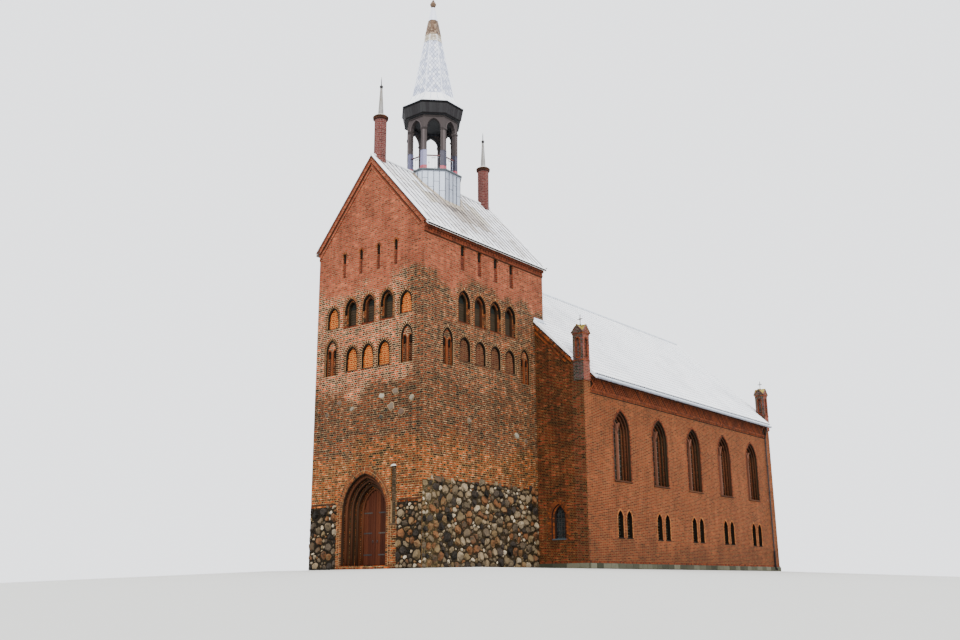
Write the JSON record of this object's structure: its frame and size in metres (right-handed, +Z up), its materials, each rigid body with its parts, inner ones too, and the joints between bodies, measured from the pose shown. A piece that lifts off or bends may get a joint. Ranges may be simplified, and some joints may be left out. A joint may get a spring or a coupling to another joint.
{
  "type": "brick church building",
  "caption": "Brick church with a saddle-roofed tower, an octagonal open lantern with a slender spire, and a wide nave with tall pointed windows and corner turrets.",
  "frame": {"origin": "on the ground, at the middle of the building's plan", "axes": "+Z up, the front with the portal faces -Y, the nave runs toward +Y, +X to the right"},
  "size_m": [13.4, 31.23, 31.9],
  "materials": {
    "old_brick": "weathered old brick with pale mortar",
    "nave_brick": "smooth red-orange machine brick",
    "field_stone": "rough field stone in lime mortar",
    "plinth_stone": "grey dressed stone",
    "floor_stone": "plain stone floor",
    "zinc": "weathered zinc sheet with seams",
    "ribbed_sheet": "pale ribbed roof sheet",
    "timber": "weathered grey-brown timber",
    "dark_timber": "dark stained boards",
    "shingle": "pale lavender-grey metal shingles",
    "gilt": "dull gold metal",
    "iron": "dark painted iron and slate",
    "glass": "dark leaded glass"
  },
  "bodies": {
    "root": {"tower_front_lower_wall": "old_brick", "portal_left_door": "dark_timber", "portal_right_door": "dark_timber", "tower_front_upper_wall": "old_brick", "tower_front_louvres": "dark_timber", "tower_right_wall": "old_brick", "tower_right_stone_base": "field_stone", "tower_right_louvres": "dark_timber", "tower_left_wall": "old_brick", "tower_left_stone_base": "field_stone", "tower_left_louvres": "dark_timber", "tower_rear_wall": "old_brick", "tower_floor": "floor_stone", "tower_right_roof": "zinc", "tower_left_roof": "zinc", "front_ridge_pinnacle": "old_brick", "front_pinnacle_spirelet": "iron", "rear_ridge_pinnacle": "old_brick", "rear_pinnacle_spirelet": "iron", "lantern_drum": "zinc", "lantern_arcade": "timber", "lantern_cornice": "dark_timber", "spire_lower": "shingle", "spire_upper": "gilt", "spire_finial": "gilt", "nave_right_wall": "nave_brick", "nave_right_lower_glass": "glass", "nave_right_upper_glass": "glass", "nave_front_right_wall": "nave_brick", "nave_front_right_glass": "glass", "nave_left_wall": "nave_brick", "nave_left_lower_glass": "glass", "nave_left_upper_glass": "glass", "nave_front_left_wall": "nave_brick", "nave_front_left_glass": "glass", "nave_rear_wall": "nave_brick", "nave_rear_lower_glass": "glass", "nave_rear_upper_glass": "glass", "nave_floor": "floor_stone", "nave_plinth": "plinth_stone", "nave_right_roof": "ribbed_sheet", "nave_left_roof": "ribbed_sheet", "front_right_turret": "nave_brick", "front_left_turret": "nave_brick", "rear_right_turret": "nave_brick", "rear_left_turret": "nave_brick"}
  },
  "joints": []
}
